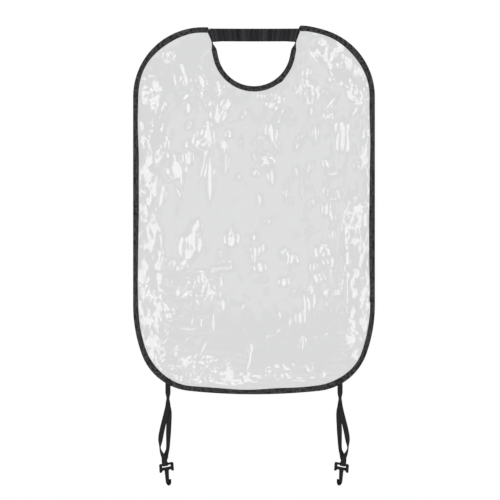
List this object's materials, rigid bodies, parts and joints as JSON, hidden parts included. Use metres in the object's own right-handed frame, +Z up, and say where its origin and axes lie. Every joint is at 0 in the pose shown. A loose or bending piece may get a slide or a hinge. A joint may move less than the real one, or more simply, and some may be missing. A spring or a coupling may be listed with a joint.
{
  "type": "clear seat back protector",
  "caption": "Clear film panel in an apron shape with a round neck cut, woven edge binding, an elastic neck strap and an elastic loop with a plastic hook at each lower corner.",
  "frame": {"origin": "middle of the rear face of the neck strap, where it bears on what it hangs from", "axes": "+Z up, the way the panel hangs; -Y out of the front of the panel; X across it"},
  "size_m": [0.472, 0.0224, 0.892],
  "materials": {
    "clear_film": "clear flexible film, glossy, wrinkled from folding",
    "binding_tape": "woven charcoal tape with a twill rib",
    "strap_elastic": "ribbed woven elastic, near black",
    "loop_elastic": "ribbed woven elastic, charcoal",
    "thread": "twisted polyester sewing thread",
    "hook_plastic": "moulded black plastic, satin gloss"
  },
  "bodies": {
    "root": {"clear_panel": "clear_film", "outer_binding": "binding_tape", "neck_binding": "binding_tape", "outer_needle_thread": "thread", "outer_bobbin_thread": "thread", "neck_needle_thread": "thread", "neck_bobbin_thread": "thread", "neck_strap_left": "strap_elastic", "neck_strap_right": "strap_elastic", "left_strap_tack": "thread", "right_strap_tack": "thread", "left_loop_end": "loop_elastic", "left_loop_tack": "thread", "right_loop_end": "loop_elastic", "right_loop_tack": "thread"},
    "neck_strap": {"neck_strap_middle": "strap_elastic"},
    "left_loop_neck": {"left_loop_neck": "loop_elastic"},
    "left_loop": {"left_loop_outer_strand": "loop_elastic", "left_loop_inner_strand": "loop_elastic"},
    "left_bight": {"left_loop_bight": "loop_elastic"},
    "left_hook": {"left_hook": "hook_plastic"},
    "right_loop_neck": {"right_loop_neck": "loop_elastic"},
    "right_loop": {"right_loop_outer_strand": "loop_elastic", "right_loop_inner_strand": "loop_elastic"},
    "right_bight": {"right_loop_bight": "loop_elastic"},
    "right_hook": {"right_hook": "hook_plastic"}
  },
  "joints": [
    {"name": "neck_strap_pull", "type": "slide", "parent": "root", "child": "neck_strap", "axis": [0, 1, 0], "range_m": [-0.05, 0.05], "stiffness_N_per_m": 80, "deforming": ["neck_strap_left", "neck_strap_right"]},
    {"name": "left_loop_swing", "type": "hinge", "parent": "root", "child": "left_loop_neck", "pos_m": [-0.1677, -0.00115, -0.6861], "axis": [1, 0, 0], "range_deg": [-85, 85]},
    {"name": "left_loop_sway", "type": "hinge", "parent": "left_loop_neck", "child": "left_loop", "pos_m": [-0.1677, -0.00115, -0.7081], "axis": [0, 1, 0], "range_deg": [-40, 40]},
    {"name": "left_loop_stretch", "type": "slide", "parent": "left_loop", "child": "left_bight", "axis": [0, 0, -1], "range_m": [0, 0.06], "stiffness_N_per_m": 60, "deforming": ["left_loop_outer_strand", "left_loop_inner_strand"]},
    {"name": "left_hook_pivot", "type": "hinge", "parent": "left_bight", "child": "left_hook", "pos_m": [-0.171, -0.00115, -0.83671], "axis": [0.9327, -0.2823, 0.2244], "range_deg": [-90, 90]},
    {"name": "right_loop_swing", "type": "hinge", "parent": "root", "child": "right_loop_neck", "pos_m": [0.1677, -0.00115, -0.6861], "axis": [1, 0, 0], "range_deg": [-85, 85]},
    {"name": "right_loop_sway", "type": "hinge", "parent": "right_loop_neck", "child": "right_loop", "pos_m": [0.1677, -0.00115, -0.7081], "axis": [0, -1, 0], "range_deg": [-40, 40]},
    {"name": "right_loop_stretch", "type": "slide", "parent": "right_loop", "child": "right_bight", "axis": [0, 0, -1], "range_m": [0, 0.06], "stiffness_N_per_m": 60, "deforming": ["right_loop_outer_strand", "right_loop_inner_strand"]},
    {"name": "right_hook_pivot", "type": "hinge", "parent": "right_bight", "child": "right_hook", "pos_m": [0.171, -0.00115, -0.83671], "axis": [0.9327, 0.2823, -0.2244], "range_deg": [-90, 90]}
  ]
}
